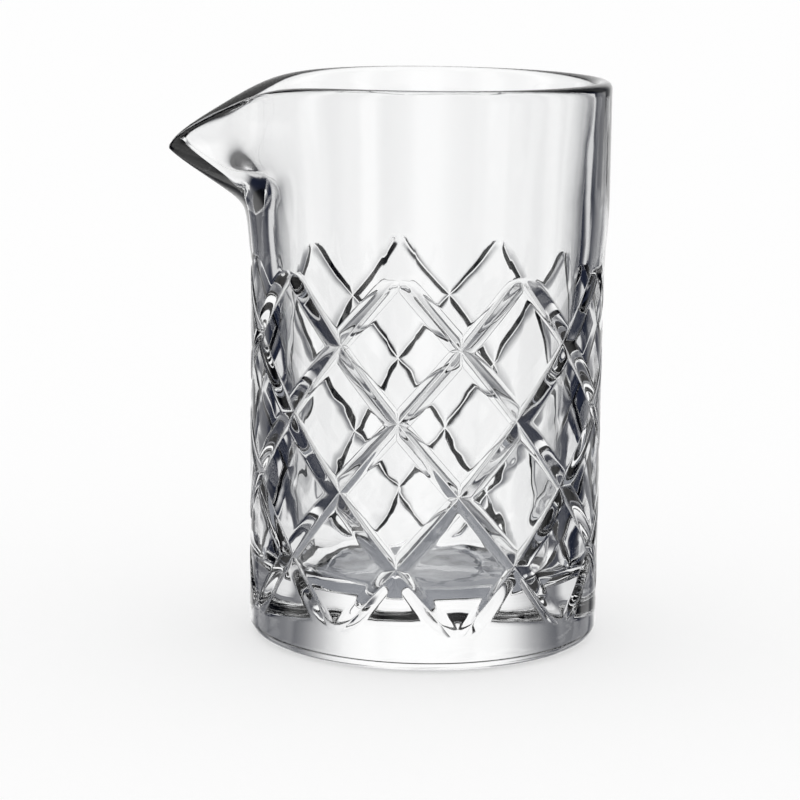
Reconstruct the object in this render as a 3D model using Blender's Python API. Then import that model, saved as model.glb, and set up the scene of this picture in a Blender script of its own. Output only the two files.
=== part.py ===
"""Mixing glass for stirred drinks: one piece of thick moulded clear glass with a diamond lattice of
V grooves cut into its side, a heavy base, a rounded rim and a beak pulled out of the rim for pouring.
Metres, +Z up. The origin is the middle of the base, and the beak points along -X."""
import math

import bmesh
import bpy

# Overall form
HEIGHT = 0.140
BODY_RADIUS = 0.0450  # plain band under the rim
GRIP_INSET = 0.0010  # from the plain band in to the lattice and the base
RIM_WALL = 0.0042
FLOOR_WALL = 0.0111  # the inside tapers down to this at the top of the floor's fillet
RIM_CROWN = 0.0018  # height of the rounded rim edge
FLOOR_THICKNESS = 0.0150
FLOOR_FILLET = 0.0080
HEEL_RADIUS = 0.0040  # rounded edge round the foot

# Lattice of crossing grooves
DIAMONDS = 9
ROWS = 5  # half diamonds from the top points to the bottom ends
LATTICE_TOP = 0.0964
LATTICE_BOTTOM = 0.0072
LATTICE_TURN = math.radians(-1.65)  # from the beak to the nearest top point
GROOVE_WIDTH = 0.0048
GROOVE_DEPTH = 0.0017
TOP_RUNOUT = 0.30  # share of a row over which a groove fades in
BOTTOM_RUNOUT = 0.30
BOTTOM_PLAIN = 0.07  # share of the last row left without a groove
PAD_STEPS = 4  # facets across a diamond between its grooves
SHOULDER_ABOVE = 0.0150  # where the plain band has swelled to full size, above the lattice
SHOULDER_BELOW = 0.0060

# Pouring beak
BEAK_REACH = 0.0236  # past the plain band, which its tip stops just short of
BEAK_FOOT = 0.0312  # below the rim, where the underside leaves the wall
BEAK_SLOPE = 1.56  # outward run of the underside for each unit of rise
BEAK_BLEND = 0.0022  # rounding where the underside leaves the wall
BEAK_FLARE = math.radians(10.5)  # angle over which the beak falls to about a third
BEAK_NOSE = math.radians(1.2)
REACH_SHARPNESS = 6.0  # how suddenly the slope turns upright at its reach
CHANNEL_REACH = 0.0230
CHANNEL_FOOT = 0.0266
CHANNEL_SLOPE = 2.0
CHANNEL_FLARE = math.radians(9.0)
LIP_DROP = 0.0154  # the beak's tip below the rim
LIP_TILT = 0.0009  # half the height from the tip's outer edge to its inner edge
LIP_FLARE = math.radians(13.5)

# Facets
WALL_RINGS = 10
CHANNEL_RINGS = 9
INNER_RINGS = 5
RIM_STEPS = 4
FILLET_STEPS = 4
HEEL_STEPS = 4
NOSE_STEP = math.radians(1.25)  # widest column at the beak's nose
FLANK_STEP = math.radians(2.5)
FLANK_SPAN = math.radians(17)  # from the nose, either way
BLEND_STEP = math.radians(4.0)
BLEND_SPAN = math.radians(36)
SAME = 1e-6  # lengths or shares closer than this are equal

GRIP_RADIUS = BODY_RADIUS - GRIP_INSET
FILLET_TOP = FLOOR_THICKNESS + FLOOR_FILLET
ROW_HEIGHT = (LATTICE_TOP - LATTICE_BOTTOM) / ROWS
COLUMN = math.pi / DIAMONDS  # half a diamond's width, as an angle


def smooth(low, high, value):
    """Rises from 0 at low to 1 at high with level ends."""
    t = min(max((value - low) / (high - low), 0.0), 1.0)
    return t * t * (3.0 - 2.0 * t)


def fade(turn, flare, nose):
    """Falls off from 1 at the beak's middle on both sides, with a small round nose."""
    off = math.sqrt(turn * turn + nose * nose) - nose
    return math.exp(-off / flare)


def pulled(z, foot, slope, blend, reach):
    """How far the beak stands out at height z: level at the foot, then a straight slope up to its reach."""
    rise = z - foot
    out = 0.5 * slope * (rise + math.sqrt(rise * rise + blend * blend))
    return out / (1.0 + (out / reach) ** REACH_SHARPNESS) ** (1.0 / REACH_SHARPNESS)


def shoulder(z):
    return smooth(LATTICE_TOP - SHOULDER_BELOW, LATTICE_TOP + SHOULDER_ABOVE, z)


def outer_radius(turn, z):
    wall = GRIP_RADIUS + (BODY_RADIUS - GRIP_RADIUS) * shoulder(z)
    out = pulled(z, HEIGHT - BEAK_FOOT, BEAK_SLOPE, BEAK_BLEND, BEAK_REACH)
    return wall + out * fade(turn, BEAK_FLARE, BEAK_NOSE)


def inner_radius(turn, z):
    low = GRIP_RADIUS - FLOOR_WALL
    high = BODY_RADIUS - RIM_WALL
    wall = low + (high - low) * (z - FILLET_TOP) / (HEIGHT - FILLET_TOP)
    out = pulled(z, HEIGHT - CHANNEL_FOOT, CHANNEL_SLOPE, BEAK_BLEND, CHANNEL_REACH)
    return wall + out * fade(turn, CHANNEL_FLARE, BEAK_NOSE)


def lip(turn, tilt):
    """Height of the wall's edge under the rounded rim: level all round, and falling to the beak's tip."""
    return HEIGHT - RIM_CROWN - (LIP_DROP + tilt) * fade(turn, LIP_FLARE, BEAK_NOSE)


def place(turn, radius, z):
    """A point at an angle from the beak, counter-clockwise seen from above."""
    return (-radius * math.cos(turn), -radius * math.sin(turn), z)


def signed(turn):
    return (turn + math.pi) % (2.0 * math.pi) - math.pi


def groove_share():
    """Half a groove's width as a share of the distance between two parallel grooves."""
    across = GRIP_RADIUS * COLUMN
    apart = 2.0 * across * ROW_HEIGHT / math.hypot(across, ROW_HEIGHT)
    return 0.5 * GROOVE_WIDTH / apart


def lattice_point(p, q):
    """A point of the lattice by its place between the two families of grooves, which lie at whole p and q."""
    row = p + q
    turn = signed(LATTICE_TURN + (p - q) * COLUMN)
    z = LATTICE_TOP - row * ROW_HEIGHT
    ends = smooth(0.0, TOP_RUNOUT, row) * smooth(BOTTOM_PLAIN, BOTTOM_PLAIN + BOTTOM_RUNOUT, ROWS - row)
    in_groove = min(abs(p - round(p)), abs(q - round(q))) < SAME
    cut = GROOVE_DEPTH * ends if in_groove else 0.0
    return place(turn, outer_radius(turn, z) - cut, z)


def make_lattice(bm):
    """The grooved side wall from the lattice's top points to its bottom ends, as an open tube."""
    share = groove_share()
    marks = [0.0]
    for n in range(PAD_STEPS + 1):
        marks.append(share + (1.0 - 2.0 * share) * n / PAD_STEPS)
    marks.append(1.0)
    points = {}

    def vertex(p, q):
        column = round((p - q) / SAME) % round(2 * DIAMONDS / SAME)
        key = (round((p + q) / SAME), column)
        if key not in points:
            points[key] = bm.verts.new(lattice_point(p, q))
        return points[key]

    for start in range(-1, ROWS):
        for n in range(DIAMONDS):
            column = 2 * n + start % 2
            p0 = (start + column) // 2
            q0 = start - p0
            for a in range(len(marks) - 1):
                for b in range(len(marks) - 1):
                    corners = [
                        (p0 + marks[a], q0 + marks[b]),
                        (p0 + marks[a + 1], q0 + marks[b]),
                        (p0 + marks[a + 1], q0 + marks[b + 1]),
                        (p0 + marks[a], q0 + marks[b + 1]),
                    ]
                    kept = [c for c in corners if -SAME < c[0] + c[1] < ROWS + SAME]
                    if len(kept) < 3:
                        continue
                    face = [vertex(p, q) for p, q in kept]
                    last = len(marks) - 2
                    if len(face) == 4 and a in (0, last) and b in (0, last):
                        # where two grooves meet, their sides meet on a mitre that starts at the crossing
                        first = 0 if (a == 0) == (b == 0) else 1
                        turned = face[first:] + face[:first]
                        bm.faces.new(turned[:3])
                        bm.faces.new((turned[0], turned[2], turned[3]))
                    else:
                        bm.faces.new(face)


def turn_of(vert):
    return math.atan2(-vert.co.y, -vert.co.x)


def open_loop(bm, z):
    """The vertices of the tube's open edge at height z, in order round the glass."""
    rim = {v for e in bm.edges if e.is_boundary for v in e.verts if abs(v.co.z - z) < SAME}
    return sorted(rim, key=turn_of)


def column_step(near):
    """The widest column allowed at an angle from the beak's nose, or None where the lattice's own will do."""
    if near == 0.0:
        return NOSE_STEP
    if near < FLANK_SPAN:
        return FLANK_STEP
    return BLEND_STEP if near < BLEND_SPAN else None


def refine_beak(bm):
    """Splits the top edge of the lattice near the beak, whose nose needs finer columns."""
    for edge in [e for e in bm.edges if e.is_boundary and abs(e.verts[0].co.z - LATTICE_TOP) < SAME]:
        start, end = sorted(turn_of(v) for v in edge.verts)
        step = column_step(0.0 if start < 0.0 < end else min(abs(start), abs(end)))
        if step is None or end - start > math.pi:
            continue
        pieces = math.ceil((end - start) / step)
        if start < 0.0 < end:
            pieces += pieces % 2
        if pieces > 1:
            bmesh.ops.subdivide_edges(bm, edges=[edge], cuts=pieces - 1)
    loop = open_loop(bm, LATTICE_TOP)
    middle = min(loop, key=lambda v: abs(turn_of(v)))
    for vert in loop:
        turn = 0.0 if vert is middle else turn_of(vert)
        vert.co = place(turn, outer_radius(turn, LATTICE_TOP), LATTICE_TOP)


def skin(bm, loop, points):
    """Adds a loop of new points beside an open loop and joins the two with faces."""
    new = [bm.verts.new(p) for p in points]
    for n in range(len(loop)):
        m = (n + 1) % len(loop)
        bm.faces.new((loop[n], loop[m], new[m], new[n]))
    return new


def make_top(bm):
    """The plain band, the rounded rim with its beak, and the inside down to the floor."""
    loop = open_loop(bm, LATTICE_TOP)
    turns = [turn_of(v) for v in loop]
    edge_out = [lip(t, LIP_TILT) for t in turns]
    edge_in = [lip(t, -LIP_TILT) for t in turns]
    for n in range(1, WALL_RINGS + 1):
        share = n / WALL_RINGS
        heights = [LATTICE_TOP + (top - LATTICE_TOP) * share for top in edge_out]
        loop = skin(bm, loop, [place(t, outer_radius(t, z), z) for t, z in zip(turns, heights)])
    outer = [(outer_radius(t, z), z) for t, z in zip(turns, edge_out)]
    inner = [(inner_radius(t, z), z) for t, z in zip(turns, edge_in)]
    for n in range(1, RIM_STEPS):
        angle = math.pi * n / RIM_STEPS
        points = []
        for t, (r0, z0), (r1, z1) in zip(turns, outer, inner):
            half_r = 0.5 * (r0 - r1)
            half_z = 0.5 * (z0 - z1)
            wide = math.hypot(half_r, half_z)
            along = math.cos(angle)
            up = RIM_CROWN * math.sin(angle)
            radius = 0.5 * (r0 + r1) + half_r * along - half_z / wide * up
            z = 0.5 * (z0 + z1) + half_z * along + half_r / wide * up
            points.append(place(t, radius, z))
        loop = skin(bm, loop, points)
    channel_end = LATTICE_TOP + SHOULDER_BELOW
    for n in range(CHANNEL_RINGS + 1):
        share = n / CHANNEL_RINGS
        heights = [top + (channel_end - top) * share for top in edge_in]
        loop = skin(bm, loop, [place(t, inner_radius(t, z), z) for t, z in zip(turns, heights)])
    for n in range(1, INNER_RINGS + 1):
        z = channel_end + (FILLET_TOP - channel_end) * n / INNER_RINGS
        loop = skin(bm, loop, [place(t, inner_radius(t, z), z) for t in turns])
    centre = inner_radius(math.pi, FILLET_TOP) - FLOOR_FILLET
    for n in range(1, FILLET_STEPS + 1):
        angle = 0.5 * math.pi * n / FILLET_STEPS
        z = FILLET_TOP - FLOOR_FILLET * math.sin(angle)
        radius = centre + FLOOR_FILLET * math.cos(angle)
        loop = skin(bm, loop, [place(t, radius, z) for t in turns])
    bm.faces.new(loop)


def make_base(bm):
    """The plain foot under the lattice, its rounded heel and the flat underside."""
    loop = open_loop(bm, LATTICE_BOTTOM)
    turns = [turn_of(v) for v in loop]
    for n in range(HEEL_STEPS + 1):
        angle = 0.5 * math.pi * n / HEEL_STEPS
        z = HEEL_RADIUS * (1.0 - math.sin(angle))
        radius = GRIP_RADIUS - HEEL_RADIUS * (1.0 - math.cos(angle))
        loop = skin(bm, loop, [place(t, radius, z) for t in turns])
    bm.faces.new(loop)


def clear_glass():
    material = bpy.data.materials.new("clear_glass")
    material.use_nodes = True
    shader = material.node_tree.nodes["Principled BSDF"]
    shader.inputs["Base Color"].default_value = (0.93, 0.95, 0.95, 1.0)
    shader.inputs["Roughness"].default_value = 0.03
    shader.inputs["Metallic"].default_value = 0.0
    shader.inputs["Transmission Weight"].default_value = 1.0
    shader.inputs["IOR"].default_value = 1.5
    return material


def make_glass():
    bm = bmesh.new()
    make_lattice(bm)
    refine_beak(bm)
    make_top(bm)
    make_base(bm)
    bmesh.ops.triangulate(bm, faces=bm.faces[:])
    bmesh.ops.recalc_face_normals(bm, faces=bm.faces[:])
    mesh = bpy.data.meshes.new("glass_body")
    bm.to_mesh(mesh)
    bm.free()
    mesh.shade_smooth()
    glass = bpy.data.objects.new("glass_body", mesh)
    bpy.context.collection.objects.link(glass)
    mesh.materials.append(clear_glass())
    return glass


for old in list(bpy.data.objects):
    bpy.data.objects.remove(old, do_unlink=True)
make_glass()
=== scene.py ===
import math
import bmesh
import bpy
from mathutils import Matrix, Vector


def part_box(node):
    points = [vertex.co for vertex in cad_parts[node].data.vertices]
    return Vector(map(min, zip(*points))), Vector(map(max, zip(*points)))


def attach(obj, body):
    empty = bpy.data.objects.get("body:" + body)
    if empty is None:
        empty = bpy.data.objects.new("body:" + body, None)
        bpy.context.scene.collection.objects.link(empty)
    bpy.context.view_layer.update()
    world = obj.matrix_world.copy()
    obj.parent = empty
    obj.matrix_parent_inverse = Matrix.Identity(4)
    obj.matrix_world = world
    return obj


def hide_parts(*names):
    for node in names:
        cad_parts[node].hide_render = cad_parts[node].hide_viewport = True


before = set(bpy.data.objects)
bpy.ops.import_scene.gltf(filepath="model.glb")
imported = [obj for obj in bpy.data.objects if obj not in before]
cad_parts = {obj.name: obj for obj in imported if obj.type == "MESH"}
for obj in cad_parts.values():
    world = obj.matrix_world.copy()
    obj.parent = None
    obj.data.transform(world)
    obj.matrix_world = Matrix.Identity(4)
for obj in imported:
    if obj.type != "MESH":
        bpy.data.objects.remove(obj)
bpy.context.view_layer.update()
scene = bpy.context.scene
scene.view_settings.view_transform = "Standard"

# The camera stands a little above the rim, an arm's length away, with a long lens.
# It is turned slightly towards the beak's side and leans a little, as the photograph does.
image_width = 800
camera_distance = 0.740
camera_height = 0.1929
camera_turn = math.radians(-2.8)
camera_swing = math.radians(0.50)
camera_pitch = math.radians(10.255)
camera_roll = math.radians(0.747)
focal_pixels = 2987.3
bpy.ops.object.camera_add()
camera = bpy.context.object
camera.data.sensor_width = 36.0
camera.data.lens = camera.data.sensor_width * focal_pixels / image_width
camera.matrix_world = (
    Matrix.Rotation(camera_turn, 4, "Z")
    @ Matrix.Translation((0.0, -camera_distance, camera_height))
    @ Matrix.Rotation(camera_swing, 4, "Z")
    @ Matrix.Rotation(math.pi / 2 - camera_pitch, 4, "X")
    @ Matrix.Rotation(camera_roll, 4, "Z")
)
scene.camera = camera

# The glass is one gob of clear soda glass, pressed in a mould that cuts the crossing grooves into its side.
# It is then reheated: the rim and the edges of the grooves melt round, and the beak is pulled out by hand.
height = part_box("glass_body")[1].z
body_radius = 0.0450
grip_inset = 0.0010
grip_radius = body_radius - grip_inset
shoulder_above = 0.0150
shoulder_below = 0.0060
rim_wall = 0.0042
floor_wall = 0.0111
rim_crown = 0.0018
floor_height = 0.0150
floor_fillet = 0.0080
fillet_top = floor_height + floor_fillet
heel_radius = 0.0040

diamonds = 9
rows = 5
lattice_top = 0.0964
lattice_foot = 0.0072
lattice_turn = math.radians(-1.65)
groove_half = 0.0024
groove_depth = 0.0017
groove_round = 0.00012
groove_bow = 0.9
melt = 0.06
top_plain = 0.05
top_runout = 0.11
foot_plain = 0.07
foot_runout = 0.30
row_height = (lattice_top - lattice_foot) / rows
column = math.pi / diamonds
column_width = grip_radius * column
groove_spacing = 2 * column_width * row_height / math.hypot(column_width, row_height)

beak_reach = 0.0236
beak_foot = 0.0312
beak_slope = 1.56
beak_blend = 0.0022
beak_flare = math.radians(10.5)
beak_nose = math.radians(1.2)
channel_reach = 0.0230
channel_foot = 0.0266
channel_slope = 2.0
channel_flare = math.radians(9.0)
lip_drop = 0.0154
lip_tilt = 0.0009
lip_flare = math.radians(13.5)


def smooth(low, high, value):
    t = min(max((value - low) / (high - low), 0.0), 1.0)
    return t * t * (3 - 2 * t)


def fade(turn, flare):
    """Falls off from 1 at the beak's middle on both sides of a small round nose."""
    return math.exp((beak_nose - math.hypot(turn, beak_nose)) / flare)


def pulled(z, foot, slope, reach):
    """How far the beak is pulled out at a height: a straight slope from its foot up to its reach."""
    rise = z - foot
    out = 0.5 * slope * (rise + math.hypot(rise, beak_blend))
    return out / (1 + (out / reach) ** 6) ** (1 / 6)


def outer_radius(turn, z):
    rise = smooth(lattice_top - shoulder_below, lattice_top + shoulder_above, z)
    wall = grip_radius + grip_inset * rise
    return wall + pulled(z, height - beak_foot, beak_slope, beak_reach) * fade(turn, beak_flare)


def inner_radius(turn, z):
    low, high = grip_radius - floor_wall, body_radius - rim_wall
    wall = low + (high - low) * (z - fillet_top) / (height - fillet_top)
    return wall + pulled(z, height - channel_foot, channel_slope, channel_reach) * fade(turn, channel_flare)


def lip_height(turn, tilt):
    return height - rim_crown - (lip_drop + tilt) * fade(turn, lip_flare)


def around(turn, radius, z):
    """A place at an angle from the beak, counter-clockwise seen from above."""
    return (-radius * math.cos(turn), -radius * math.sin(turn), z)


def groove(distance):
    """Depth of one groove at a distance from its middle: steepest at the bottom, melted at its edges."""
    across = math.hypot(distance, groove_round) - groove_round
    near = melt * math.log1p(math.exp((1 - across / groove_half) / melt))
    return groove_depth * near * (1 + groove_bow * near) / (1 + groove_bow)


def lattice_relief(p, q):
    """How far a point of the side stands out, by its place between the two families of grooves."""
    row = p + q
    one = groove(abs(p - round(p)) * groove_spacing)
    other = groove(abs(q - round(q)) * groove_spacing)
    cut = 0.5 * (one + other + math.hypot(one - other, groove_round) - groove_round)
    fade_in = smooth(top_plain, top_plain + top_runout, row)
    fade_out = smooth(foot_plain, foot_plain + foot_runout, rows - row)
    return -cut * fade_in * fade_out


# The side starts as a flat sheet whose mesh runs along both families of grooves, closer at each groove.
# Cut to the lattice's height and to one turn, it is then grooved and rolled up into the wall.
near_shares = [0.0, 0.05, 0.11, 0.19, 0.29, 0.42, 0.58, 0.75, 0.90, 1.0, 1.10]
pad_steps = 10
near_marks = [share * groove_half / groove_spacing for share in near_shares]
pad_start = 1.25 * groove_half / groove_spacing
pad_marks = [pad_start + (1 - 2 * pad_start) * n / pad_steps for n in range(pad_steps + 1)]
marks = near_marks + pad_marks + [1 - mark for mark in reversed(near_marks[1:])]
steps = len(marks)
sheet_cells = diamonds + rows // 2 + 1
bpy.ops.object.select_all(action="DESELECT")
bpy.ops.mesh.primitive_grid_add(
    x_subdivisions=sheet_cells * steps, y_subdivisions=sheet_cells * steps, size=sheet_cells)
glass = bpy.context.object
glass.name = "mixing_glass"
for vert in glass.data.vertices:
    x = round((vert.co.x + sheet_cells / 2) * steps)
    y = round((vert.co.y + sheet_cells / 2) * steps)
    p = x // steps + marks[x % steps]
    q = y // steps + marks[y % steps] - diamonds
    vert.co = (p - q, p + q, 0.0)
trims = [
    ((0, 0, 0), (0, -1, 0)),
    ((0, rows, 0), (0, 1, 0)),
    ((0, 0, 0), (-1, 0, 0)),
    ((2 * diamonds, 0, 0), (1, 0, 0)),
]
bpy.ops.object.mode_set(mode="EDIT")
for place, outward in trims:
    bpy.ops.mesh.select_all(action="SELECT")
    bpy.ops.mesh.bisect(plane_co=place, plane_no=outward, clear_outer=True, threshold=1e-5)
bpy.ops.object.mode_set(mode="OBJECT")

for vert in glass.data.vertices:
    across, down = vert.co.x, vert.co.y
    turn = lattice_turn + across * column
    turn = (turn + math.pi) % (2 * math.pi) - math.pi
    z = lattice_top - down * row_height
    relief = lattice_relief((across + down) / 2, (down - across) / 2)
    vert.co = around(turn, outer_radius(turn, z) + relief, z)
bpy.ops.object.mode_set(mode="EDIT")
bpy.ops.mesh.select_mode(type="VERT")
bpy.ops.mesh.select_all(action="SELECT")
bpy.ops.mesh.remove_doubles(threshold=1e-6)


def turn_of(vert):
    return math.atan2(-vert.co.y, -vert.co.x)


def select_edge(z):
    """Selects the open edge at a height, and gives the angles of its points in order."""
    mesh = bmesh.from_edit_mesh(glass.data)
    bpy.ops.mesh.select_all(action="DESELECT")
    loop = [v for v in mesh.verts if v.is_boundary and abs(v.co.z - z) < 1e-6]
    for vert in loop:
        vert.select = True
    mesh.select_flush(True)
    return sorted(turn_of(v) for v in loop)


def extrude_ring(places):
    """Extrudes the selected loop and puts its new points, in order round the glass, at these places."""
    bpy.ops.mesh.extrude_region_move()
    mesh = bmesh.from_edit_mesh(glass.data)
    ring = sorted((v for v in mesh.verts if v.select), key=turn_of)
    for vert, place in zip(ring, places):
        vert.co = place
    bmesh.update_edit_mesh(glass.data)


# From the lattice the wall goes up to the lip, over the rounded rim and down the inside to the floor.
# On the way up the mesh gathers at the beak's nose, as the glass does when it is pulled.
wall_rings = 28
rim_rings = 12
channel_rings = 24
inner_rings = 10
fillet_rings = 10
gather = 0.78
gather_width = math.radians(30)
turns = select_edge(lattice_top)
nose_turn = min(turns, key=abs)


def gathered(turn, share):
    shifted = turn - nose_turn * share * math.exp(-(turn / gather_width) ** 2)
    return shifted * (1 - gather * share * math.exp(-(shifted / gather_width) ** 2))


for n in range(1, wall_rings + 1):
    share = n / wall_rings
    places = []
    for turn in turns:
        near = gathered(turn, smooth(0.0, 0.6, share))
        z = lattice_top + (lip_height(near, lip_tilt) - lattice_top) * share
        places.append(around(near, outer_radius(near, z), z))
    extrude_ring(places)
lip_turns = [gathered(turn, 1.0) for turn in turns]
for n in range(1, rim_rings):
    angle = math.pi * n / rim_rings
    places = []
    for turn in lip_turns:
        z_out, z_in = lip_height(turn, lip_tilt), lip_height(turn, -lip_tilt)
        r_out, r_in = outer_radius(turn, z_out), inner_radius(turn, z_in)
        half_r, half_z = 0.5 * (r_out - r_in), 0.5 * (z_out - z_in)
        wide = math.hypot(half_r, half_z)
        rise = rim_crown * math.sin(angle)
        radius = r_in + half_r * (1 + math.cos(angle)) - half_z / wide * rise
        z = z_in + half_z * (1 + math.cos(angle)) + half_r / wide * rise
        places.append(around(turn, radius, z))
    extrude_ring(places)
channel_end = lattice_top + shoulder_below
for n in range(channel_rings + 1):
    share = n / channel_rings
    places = []
    for turn in turns:
        near = gathered(turn, 1 - smooth(0.4, 1.0, share))
        top = lip_height(near, -lip_tilt)
        z = top + (channel_end - top) * share
        places.append(around(near, inner_radius(near, z), z))
    extrude_ring(places)
for n in range(1, inner_rings + 1):
    z = channel_end + (fillet_top - channel_end) * n / inner_rings
    extrude_ring([around(turn, inner_radius(turn, z), z) for turn in turns])
fillet_centre = inner_radius(math.pi, fillet_top) - floor_fillet
for n in range(1, fillet_rings + 1):
    angle = 0.5 * math.pi * n / fillet_rings
    radius = fillet_centre + floor_fillet * math.cos(angle)
    z = fillet_top - floor_fillet * math.sin(angle)
    extrude_ring([around(turn, radius, z) for turn in turns])
for share in (0.9, 0.6, 0.3):
    extrude_ring([around(turn, fillet_centre * share, floor_height) for turn in turns])
bpy.ops.mesh.edge_face_add()

# Below the lattice a plain foot turns under in a rounded heel to the flat underside.
heel_rings = 10
turns = select_edge(lattice_foot)
for n in range(heel_rings + 1):
    angle = 0.5 * math.pi * n / heel_rings
    radius = grip_radius - heel_radius * (1 - math.cos(angle))
    z = heel_radius * (1 - math.sin(angle))
    extrude_ring([around(turn, radius, z) for turn in turns])
for share in (0.95, 0.6, 0.3):
    extrude_ring([around(turn, (grip_radius - heel_radius) * share, 0.0) for turn in turns])
bpy.ops.mesh.edge_face_add()
bpy.ops.mesh.select_all(action="SELECT")
bpy.ops.mesh.normals_make_consistent(inside=False)
bpy.ops.object.mode_set(mode="OBJECT")
bpy.ops.object.shade_smooth()


class Wire:
    """A value in a material's nodes. Sums on it add Math nodes, and node adds a node of any other kind."""

    def __init__(self, tree, socket=None):
        self.tree = tree
        self.socket = socket

    def node(self, kind, settings=(), values=(), out=0):
        made = self.tree.nodes.new(kind)
        for name, value in dict(settings).items():
            setattr(made, name, value)
        for name, value in dict(values).items():
            if isinstance(value, Wire):
                self.tree.links.new(value.socket, made.inputs[name])
            else:
                made.inputs[name].default_value = value
        return Wire(self.tree, made.outputs[out] if made.outputs else None)

    def sum_of(self, operation, first, second):
        return self.node("ShaderNodeMath", {"operation": operation}, {0: first, 1: second})

    def __add__(self, other):
        return self.sum_of("ADD", self, other)

    def __radd__(self, other):
        return self.sum_of("ADD", other, self)

    def __sub__(self, other):
        return self.sum_of("SUBTRACT", self, other)

    def __rsub__(self, other):
        return self.sum_of("SUBTRACT", other, self)

    def __mul__(self, other):
        return self.sum_of("MULTIPLY", self, other)

    def __rmul__(self, other):
        return self.sum_of("MULTIPLY", other, self)


def empty_material(name):
    material = bpy.data.materials.new(name)
    material.use_nodes = True
    material.node_tree.nodes.clear()
    return material, Wire(material.node_tree)


# The glass is clear and fire-polished outside. Inside, the plunger leaves slow waves, most on the floor.
wave_height = 0.00036
outside_waves = 0.06
floor_waves = 1.6
rim_waves = 0.05
inside_margin = 0.002
underside_clear = 0.010
clear_glass, wire = empty_material("clear_pressed_glass")
spot = wire.node("ShaderNodeTexCoord", out="Object")
up = wire.node("ShaderNodeSeparateXYZ", {}, {0: spot}, out="Z")
flat = wire.node("ShaderNodeVectorMath", {"operation": "MULTIPLY"}, {0: spot, 1: (1.0, 1.0, 0.0)})
radius = wire.node("ShaderNodeVectorMath", {"operation": "LENGTH"}, {0: flat}, out="Value")
taper = (inner_radius(math.pi, height) - inner_radius(math.pi, fillet_top)) / (height - fillet_top)
inside_edge = inner_radius(math.pi, 0.0) + taper * up
above_foot = wire.sum_of("GREATER_THAN", up, underside_clear)
inside = wire.sum_of("LESS_THAN", radius, inside_edge + inside_margin) * above_foot
low_down = wire.node("ShaderNodeMapRange", {"interpolation_type": "SMOOTHSTEP"}, {
    "Value": up, "From Min": 0.014, "From Max": 0.105, "To Min": floor_waves, "To Max": rim_waves})
ripple = wire.node("ShaderNodeTexNoise", {}, {"Vector": spot, "Scale": 105.0, "Detail": 1.2})
grain = wire.node("ShaderNodeTexNoise", {}, {"Vector": spot, "Scale": 420.0, "Detail": 2.0})
polish = 0.004 + 0.012 * grain
swell = ripple * (outside_waves + (1 - outside_waves) * inside * low_down)
waves = wire.node("ShaderNodeBump", {}, {"Height": swell, "Strength": 1.0, "Distance": wave_height})
tint = wire.node("ShaderNodeMix", {"data_type": "RGBA"}, {
    "Factor": ripple, "A": (0.992, 0.995, 0.995, 1.0), "B": (0.998, 0.999, 1.0, 1.0)}, out="Result")
body = wire.node("ShaderNodeBsdfPrincipled", {}, {
    "Base Color": tint, "Roughness": polish, "IOR": 1.5, "Transmission Weight": 1.0, "Normal": waves})
wire.node("ShaderNodeOutputMaterial", {}, {"Surface": body})
glass.data.materials.append(clear_glass)
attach(glass, "root")
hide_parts("glass_body")

# The floor is a wide sheet of white board that the glass stands on, with a soft shadow round the foot.
# Under the foot is a painted shadow: a disc that glows a fixed dim grey-blue in place of the glass's own
# shade, seen only through the glass.
floor_half = 6.0
floor_gap = 0.0002
painted_shadow_radius = grip_radius - heel_radius
bpy.ops.object.select_all(action="DESELECT")
bpy.ops.mesh.primitive_plane_add(size=2 * floor_half, location=(0.0, 0.0, -floor_gap))
floor = bpy.context.object
floor.name = "floor"
white_board, wire = empty_material("white_board")
board_and_painted_shadow = wire.node("ShaderNodeBsdfDiffuse", {}, {"Color": (1.0, 1.0, 1.0, 1.0)})
fill = wire.node("ShaderNodeEmission", {}, {"Color": (1.0, 1.0, 1.0, 1.0), "Strength": 1.0})
lit_board = wire.node("ShaderNodeMixShader", {}, {0: 0.5, 1: board_and_painted_shadow, 2: fill})
wire.node("ShaderNodeOutputMaterial", {}, {"Surface": lit_board})
floor.data.materials.append(white_board)
floor.visible_transmission = False
floor.visible_glossy = False
bpy.ops.mesh.primitive_circle_add(
    vertices=96, radius=painted_shadow_radius, fill_type="NGON", location=(0.0, 0.0, -floor_gap / 2))
shade = bpy.context.object
shade.name = "painted_shadow_under_foot"
painted_shadow_board, wire = empty_material("painted_shadow_board")
# Painted shadow: a fixed dim glow, not lit by anything, stands in for the shade under the foot.
board_and_painted_shadow = wire.node("ShaderNodeEmission", {}, {"Color": (0.25, 0.26, 0.285, 1.0), "Strength": 1.0})
wire.node("ShaderNodeOutputMaterial", {}, {"Surface": board_and_painted_shadow})
shade.data.materials.append(painted_shadow_board)
shade.visible_camera = False
shade.visible_diffuse = False
shade.visible_glossy = False
shade.visible_shadow = False

# The light is an even white studio. What the glass bends and mirrors is a ring of tall bright panels
# with dark gaps between them, which give clear glass its dark edges. Each panel has its middle and its
# half width in degrees, and its brightness below and above eye level.
panels = [(2.3, 26.0, 1.0, 1.0), (90.0, 13.0, 1.0, 1.0), (180.0, 25.0, 1.0, 1.0), (-90.0, 13.0, 1.0, 1.0),
          (46.0, 8.0, 0.8, 0.2), (135.0, 13.0, 1.0, 0.6), (-135.0, 13.0, 1.0, 0.6), (-44.0, 8.0, 0.8, 0.2)]
panel_edge = 7.0
panel_top = 0.55
ceiling = 0.85
bounce_narrows = 1.0
world = bpy.data.worlds.new("white_studio")
scene.world = world
world.use_nodes = True
world.node_tree.nodes.clear()
wire = Wire(world.node_tree)
outward = wire.node("ShaderNodeTexCoord", out="Generated")
x = wire.node("ShaderNodeSeparateXYZ", {}, {0: outward}, out="X")
y = wire.node("ShaderNodeSeparateXYZ", {}, {0: outward}, out="Y")
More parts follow.
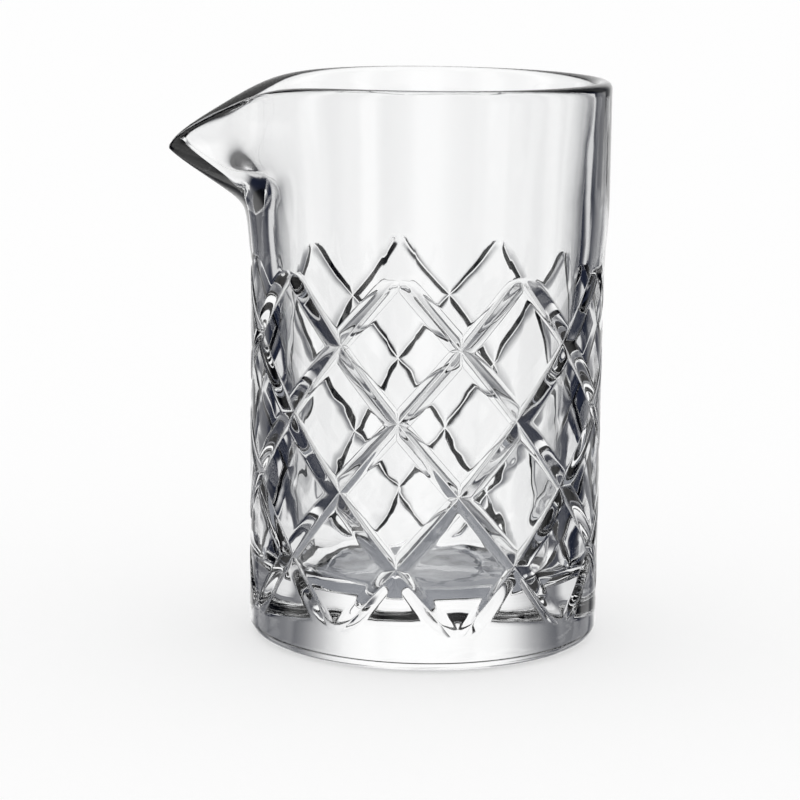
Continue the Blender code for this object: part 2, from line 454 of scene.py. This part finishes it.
z = wire.node("ShaderNodeSeparateXYZ", {}, {0: outward}, out="Z")
downward = wire.sum_of("LESS_THAN", z, 0.0)
inside = wire.sum_of("GREATER_THAN", wire.node("ShaderNodeLightPath", out="Transmission Depth"), 0.5)
reflections = wire.node("ShaderNodeLightPath", out="Glossy Depth")
bounced = inside * downward * wire.sum_of("MINIMUM", reflections, 1.0)
narrower = 1.0 + bounce_narrows * bounced
bright = 0.0
for middle, half, below, above in panels:
    ahead = math.sin(math.radians(middle)) * x + math.cos(math.radians(middle)) * y
    aside = math.cos(math.radians(middle)) * x - math.sin(math.radians(middle)) * y
    off = wire.sum_of("ARCTAN2", aside, ahead) * narrower * (1 / math.radians(half))
    falloff = wire.sum_of("POWER", wire.sum_of("MAXIMUM", off, -1.0 * off), panel_edge)
    peak = above + (below - above) * downward
    bright = wire.sum_of("MAXIMUM", bright, wire.sum_of("DIVIDE", peak, 1.0 + falloff))
steep = wire.node("ShaderNodeMapRange", {"interpolation_type": "SMOOTHSTEP"}, {
    "Value": wire.sum_of("MAXIMUM", z, -1.0 * z), "From Min": panel_top, "From Max": ceiling})
bright = wire.sum_of("MAXIMUM", bright, steep)
gap = wire.node("ShaderNodeBackground", {}, {"Color": (0.012, 0.016, 0.032, 1.0), "Strength": 1.0})
panel = wire.node("ShaderNodeBackground", {}, {"Color": (1.0, 1.0, 1.0, 1.0), "Strength": 1.0})
ring = wire.node("ShaderNodeMixShader", {}, {0: bright, 1: gap, 2: panel})
white = wire.node("ShaderNodeBackground", {}, {"Color": (1.0, 1.0, 1.0, 1.0), "Strength": 1.0})
seen = wire.node("ShaderNodeLightPath", out="Is Camera Ray")
direct = wire.sum_of("MAXIMUM", seen, wire.node("ShaderNodeLightPath", out="Is Diffuse Ray"))
studio = wire.node("ShaderNodeMixShader", {}, {0: direct, 1: ring, 2: white})
wire.node("ShaderNodeOutputWorld", {}, {"Surface": studio})
scene.cycles.max_bounces = 5
scene.cycles.transmission_bounces = 5
scene.cycles.glossy_bounces = 5
